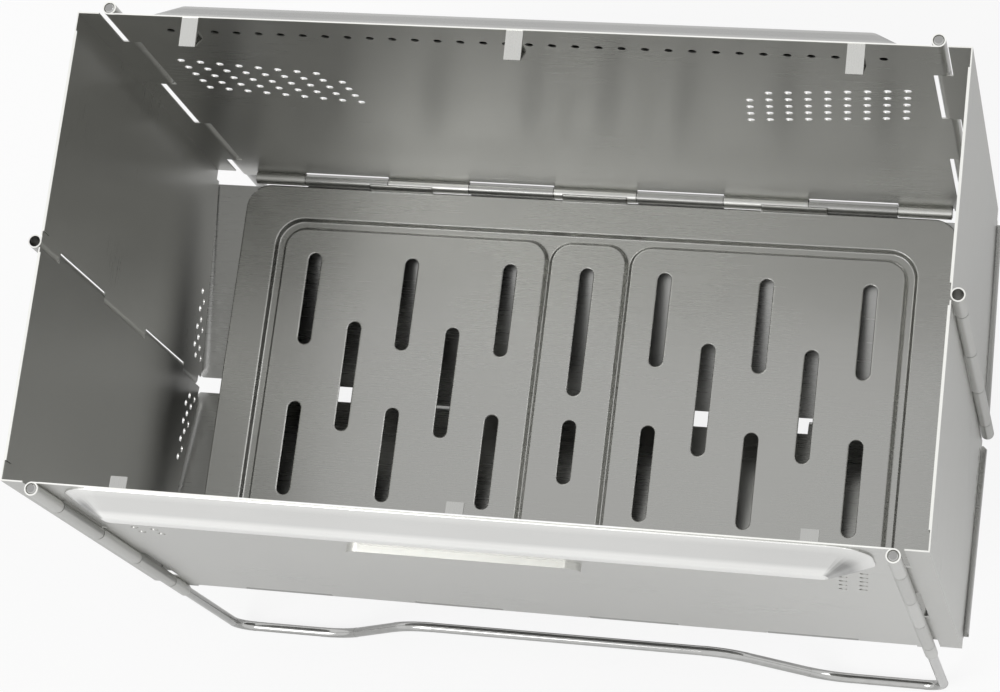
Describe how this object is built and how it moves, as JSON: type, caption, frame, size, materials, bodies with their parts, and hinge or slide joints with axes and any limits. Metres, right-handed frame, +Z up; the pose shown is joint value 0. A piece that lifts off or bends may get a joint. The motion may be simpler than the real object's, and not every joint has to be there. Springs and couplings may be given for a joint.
{
  "type": "flatpack charcoal grill",
  "caption": "Folding box-shaped charcoal grill of hinged steel sheets with a V-shaped floor, a lift-out slotted charcoal plate and bent-wire legs.",
  "frame": {"origin": "on the ground under the middle of the standing grill", "axes": "+Z up, +X along the long walls to the right, +Y from the front wall (with the pressed bead) to the rear wall"},
  "size_m": [0.337, 0.1952, 0.263],
  "materials": {
    "sheet_steel": "brushed",
    "plate_steel": "brushed, satin",
    "clip_steel": "satin",
    "wire": "polished"
  },
  "bodies": {
    "front_frame": {"front_wall": "sheet_steel", "front_rail": "sheet_steel", "front_leg": "wire", "front_floor_pin": "wire", "front_grate_clips": "clip_steel"},
    "left_front": {"left_front_panel": "sheet_steel", "left_side_pin": "wire"},
    "left_rear": {"left_rear_panel": "sheet_steel"},
    "rear_frame": {"rear_wall": "sheet_steel", "rear_rail": "sheet_steel", "rear_leg": "wire", "rear_floor_pin": "wire", "rear_grate_clips": "clip_steel"},
    "right_front": {"right_front_panel": "sheet_steel", "right_side_pin": "wire"},
    "right_rear": {"right_rear_panel": "sheet_steel"},
    "front_floor_half": {"front_floor": "sheet_steel", "middle_floor_pins": "wire"},
    "rear_floor_half": {"rear_floor": "sheet_steel"},
    "plate": {"charcoal_plate": "plate_steel"}
  },
  "joints": [
    {"name": "fold", "type": "hinge", "parent": "front_frame", "child": "left_front", "pos_m": [-0.152, -0.09104, 0.17], "axis": [0, 0, -1], "range_deg": [0, 8]},
    {"name": "left_middle", "type": "hinge", "parent": "left_front", "child": "left_rear", "pos_m": [-0.16594, 0, 0.17], "axis": [0, 0, 1], "range_deg": [0, 16]},
    {"name": "left_rear_corner", "type": "hinge", "parent": "left_rear", "child": "rear_frame", "pos_m": [-0.152, 0.09104, 0.17], "axis": [0, 0, -1], "range_deg": [0, 8]},
    {"name": "right_front_corner", "type": "hinge", "parent": "front_frame", "child": "right_front", "pos_m": [0.152, -0.09104, 0.17], "axis": [0, 0, 1], "range_deg": [0, 8]},
    {"name": "right_middle", "type": "hinge", "parent": "right_front", "child": "right_rear", "pos_m": [0.16594, 0, 0.17], "axis": [0, 0, -1], "range_deg": [0, 16]},
    {"name": "front_floor_hinge", "type": "hinge", "parent": "front_frame", "child": "front_floor_half", "pos_m": [0, -0.08646, 0.0827], "axis": [1, 0, 0], "range_deg": [0, 3.2]},
    {"name": "rear_floor_hinge", "type": "hinge", "parent": "rear_frame", "child": "rear_floor_half", "pos_m": [0, 0.08646, 0.0827], "axis": [-1, 0, 0], "range_deg": [0, 3.2]},
    {"name": "plate_lift", "type": "slide", "parent": "front_frame", "child": "plate", "axis": [0, 0, 1], "range_m": [0, 0.165]}
  ],
  "couplings": [
    {"joint": "left_middle", "follows": "fold", "ratio": 2},
    {"joint": "left_rear_corner", "follows": "fold", "ratio": 1},
    {"joint": "right_front_corner", "follows": "fold", "ratio": 1},
    {"joint": "right_middle", "follows": "fold", "ratio": 2},
    {"joint": "front_floor_hinge", "follows": "fold", "ratio": 0.39},
    {"joint": "rear_floor_hinge", "follows": "fold", "ratio": 0.39}
  ]
}
